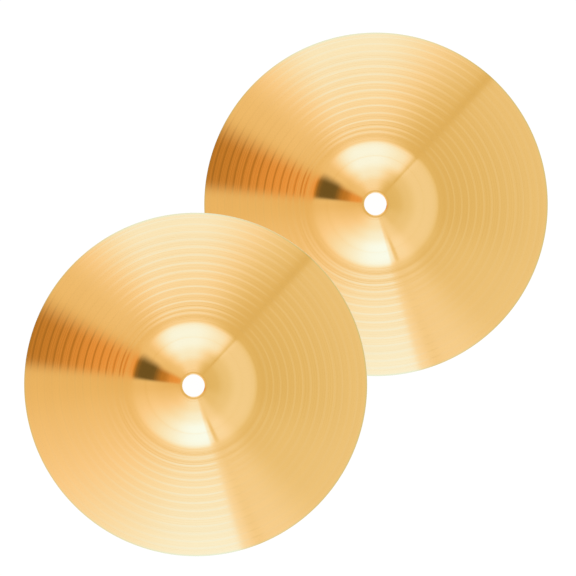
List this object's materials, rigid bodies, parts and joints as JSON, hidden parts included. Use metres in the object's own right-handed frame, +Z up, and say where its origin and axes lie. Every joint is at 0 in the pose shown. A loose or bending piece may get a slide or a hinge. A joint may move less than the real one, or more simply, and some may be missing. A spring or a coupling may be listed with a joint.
{
  "type": "hand cymbals",
  "caption": "Hand cymbals: thin round gold-coloured brass plates with a raised bell and a plain strap hole, one leaning on the other.",
  "frame": {"origin": "on the table, below the middle of the pair's bounding box", "axes": "+Z up, the way the bells point; the line from the front cymbal to the rear one runs at 45 degrees between +X and +Y"},
  "size_m": [0.3048, 0.3048, 0.0256],
  "materials": {
    "brass": "bright lathed brass, gold in colour, with a fine spiral tool groove on the bow and a smooth bell"
  },
  "bodies": {
    "rear_cymbal": {"rear_cymbal": "brass"},
    "front_cymbal": {"front_cymbal": "brass"}
  },
  "joints": [
    {"name": "front_cymbal_lift", "type": "slide", "parent": "rear_cymbal", "child": "front_cymbal", "axis": [0, 0, 1], "range_m": [0, 0.12]}
  ]
}
